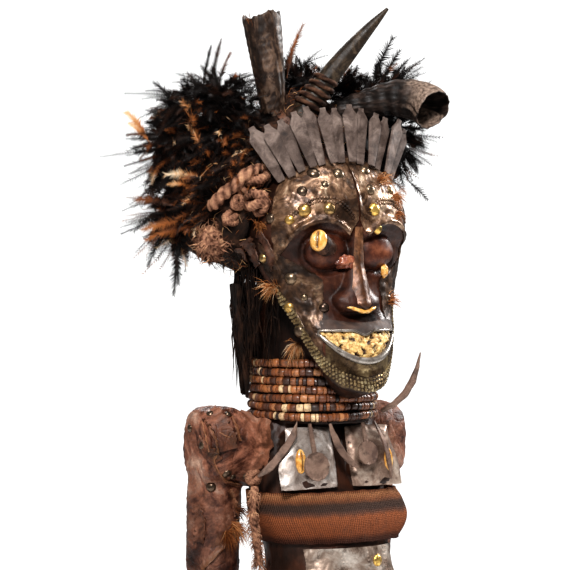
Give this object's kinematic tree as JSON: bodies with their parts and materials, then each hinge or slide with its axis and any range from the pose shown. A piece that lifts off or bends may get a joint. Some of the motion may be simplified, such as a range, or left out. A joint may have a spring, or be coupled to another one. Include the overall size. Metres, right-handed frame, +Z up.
{
  "type": "power figure",
  "caption": "Standing carved wooden power figure on a round base, dressed with sheet metal, iron blades, horns, feathers, bead strings, a woven chest band and hide sleeves.",
  "frame": {"origin": "centre of the underside of the round base", "axes": "+Z up; the figure faces -Y, so its own right side is -X"},
  "size_m": [0.3308, 0.2829, 0.9108],
  "materials": {
    "old_wood": "oiled, dark patina, worn",
    "sheet_copper": "tarnished sheet, satin",
    "sheet_iron": "grey beaten sheet, satin",
    "forged_iron": "rusty, dull",
    "horn": "dull animal horn",
    "fibre": "rough plant fibre",
    "feather": "black feathers",
    "bead_disc": "worn shell and seed discs",
    "woven_band": "ribbed raffia weave",
    "hide": "dry hide",
    "gold_shell": "glossy shell",
    "resin": "granular packing"
  },
  "bodies": {
    "root": {"carved_figure": "old_wood", "forehead_plate_right": "sheet_copper", "forehead_plate_left": "sheet_copper", "cheek_plate_right": "sheet_copper", "cheek_plate_left": "sheet_copper", "nose_strip": "sheet_copper", "upper_lip_plate": "sheet_iron", "lower_lip_rim": "sheet_iron", "beard_plate": "sheet_copper", "mouth_packing": "resin", "eye_tube_right": "horn", "eye_shell_right": "gold_shell", "eye_resin_right": "resin", "eye_shell_left": "gold_shell", "breast_plate_right": "sheet_iron", "breast_plate_left": "sheet_iron", "belly_plate": "sheet_iron", "iron_blade_1": "forged_iron", "iron_blade_2": "forged_iron", "iron_blade_3": "forged_iron", "iron_blade_4": "forged_iron", "iron_blade_5": "forged_iron", "iron_blade_6": "forged_iron", "iron_blade_7": "forged_iron", "iron_blade_8": "forged_iron", "iron_blade_9": "forged_iron", "iron_blade_10": "forged_iron", "iron_blade_11": "forged_iron", "iron_blade_12": "forged_iron", "iron_blade_13": "forged_iron", "upright_horn": "horn", "slender_horn": "horn", "open_horn": "horn", "fibre_cap": "fibre", "feathers_right": "feather", "feathers_nape": "feather", "feathers_back": "feather", "feathers_left": "feather", "feathers_top": "feather", "nape_fringe": "fibre", "bead_strand_1": "bead_disc", "bead_strand_2": "bead_disc", "bead_strand_3": "bead_disc", "bead_strand_4": "bead_disc", "bead_strand_5": "bead_disc", "bead_strand_6": "bead_disc", "bead_strand_7": "bead_disc", "pendant_tongue_1": "forged_iron", "pendant_spade_1": "forged_iron", "pendant_tongue_2": "forged_iron", "pendant_spade_2": "forged_iron", "pendant_tongue_3": "forged_iron", "iron_hook": "forged_iron", "chest_band": "woven_band", "hide_sleeve_right": "hide", "hide_sleeve_left": "hide", "armpit_knot": "fibre", "armpit_cord": "fibre"}
  },
  "joints": []
}
